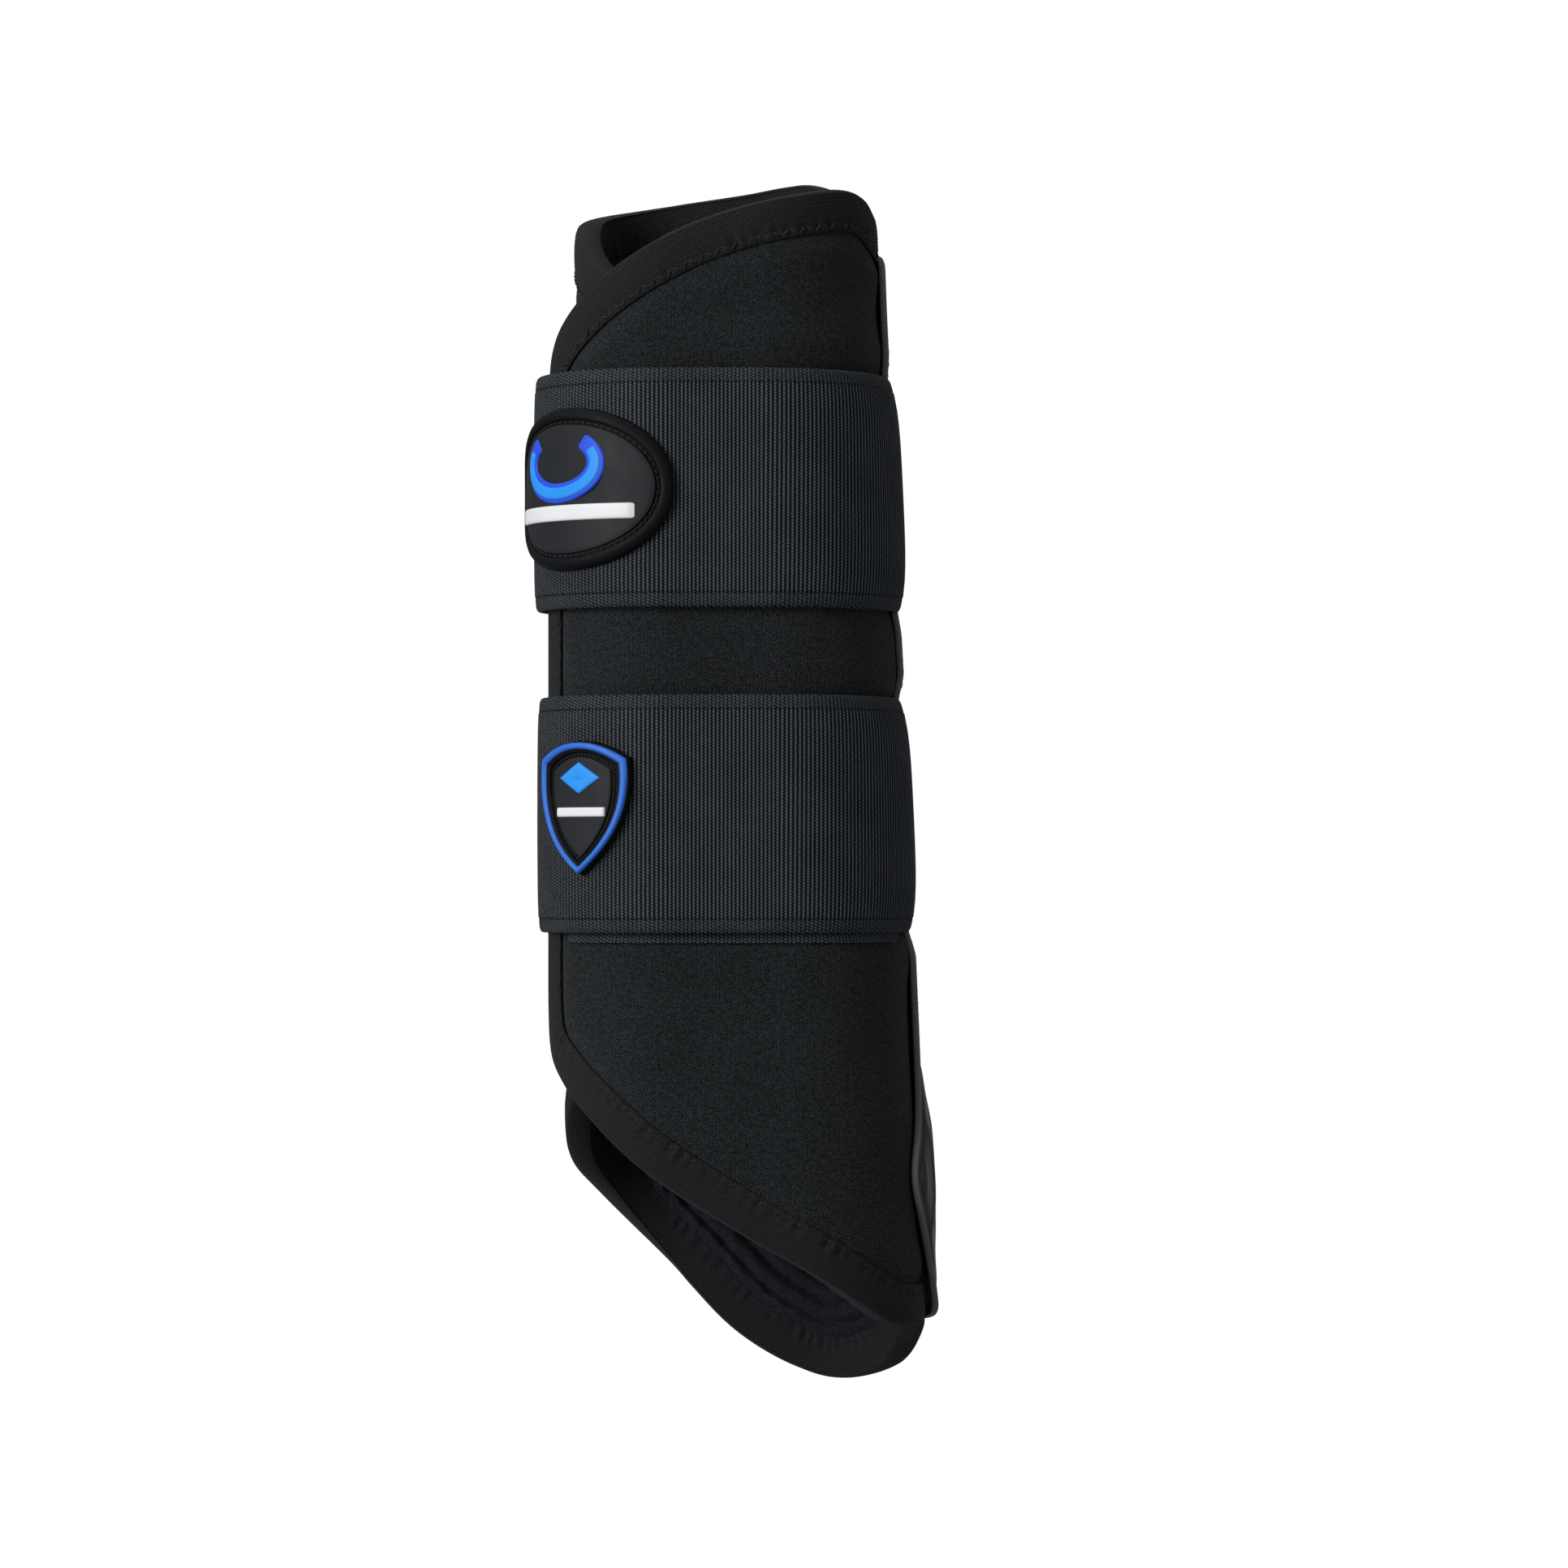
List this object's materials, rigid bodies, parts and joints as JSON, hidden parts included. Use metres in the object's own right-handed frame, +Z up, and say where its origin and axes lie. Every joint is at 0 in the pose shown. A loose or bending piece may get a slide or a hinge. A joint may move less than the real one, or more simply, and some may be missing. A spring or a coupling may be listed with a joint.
{
  "type": "horse leg boot",
  "caption": "Wrap-round neoprene tendon and brushing boot for a horse's leg, with elastic straps that fasten at the front and a tough guard at the back.",
  "frame": {"origin": "on the leg's axis, level with the lowest point of the rim", "axes": "+Z up the leg, +X to the back of the leg, -Y to its outer side"},
  "size_m": [0.1068, 0.0716, 0.3103],
  "materials": {
    "neoprene": "black jersey-faced neoprene foam",
    "lining": "smooth black knitted lining",
    "binding": "fine-ribbed black edge tape",
    "guard": "tough grained sheet",
    "bulge": "smooth moulded rubbery plastic",
    "elastic": "ribbed charcoal woven elastic",
    "touch_tape": "black hook and loop pile",
    "badge": "satin black moulded rubber",
    "light_blue": "satin moulded rubber",
    "royal_blue": "satin moulded rubber",
    "white": "satin moulded rubber",
    "thread": "black polyester thread"
  },
  "bodies": {
    "rear": {"rear_panel_neoprene": "neoprene", "rear_panel_lining": "lining", "rear_rim_binding": "binding", "rear_top_binding": "binding", "strike_guard": "guard", "fetlock_bulge": "bulge", "fetlock_ribs": "bulge", "guard_stitching": "thread", "upper_strap_anchor": "elastic", "upper_anchor_stitching": "thread", "lower_strap_anchor": "elastic", "lower_anchor_stitching": "thread"},
    "outer_flap": {"outer_flap_neoprene": "neoprene", "outer_flap_lining": "lining", "outer_flap_binding": "binding", "upper_landing_band": "elastic", "lower_landing_band": "elastic"},
    "inner_flap": {"inner_flap_neoprene": "neoprene", "inner_flap_lining": "lining", "inner_flap_binding": "binding", "upper_loop_patch": "touch_tape", "lower_loop_patch": "touch_tape"},
    "upper_strap": {"upper_strap": "elastic", "upper_hook_patch": "touch_tape", "upper_badge": "badge", "upper_badge_stitching": "thread", "upper_emblem": "light_blue", "upper_badge_bar": "white"},
    "lower_strap": {"lower_strap": "elastic", "lower_hook_patch": "touch_tape", "lower_badge": "badge", "lower_badge_stitching": "thread", "lower_badge_rim": "royal_blue", "lower_emblem": "light_blue", "lower_badge_bar": "white"}
  },
  "joints": [
    {"name": "outer_flap_swing", "type": "hinge", "parent": "rear", "child": "outer_flap", "pos_m": [0.014, -0.0315, 0.15], "axis": [0, 0, 1], "range_deg": [0, 100]},
    {"name": "inner_flap_swing", "type": "hinge", "parent": "rear", "child": "inner_flap", "pos_m": [-0.004, 0.0315, 0.15], "axis": [0, 0, 1], "range_deg": [-30, 0]},
    {"name": "upper_strap_swing", "type": "hinge", "parent": "outer_flap", "child": "upper_strap", "pos_m": [0.006, -0.0353, 0.2285], "axis": [0, 0, 1], "range_deg": [0, 85]},
    {"name": "lower_strap_swing", "type": "hinge", "parent": "outer_flap", "child": "lower_strap", "pos_m": [0.006, -0.0353, 0.1465], "axis": [0, 0, 1], "range_deg": [0, 85]}
  ],
  "couplings": [
    {"joint": "inner_flap_swing", "follows": "outer_flap_swing", "ratio": -0.3}
  ]
}
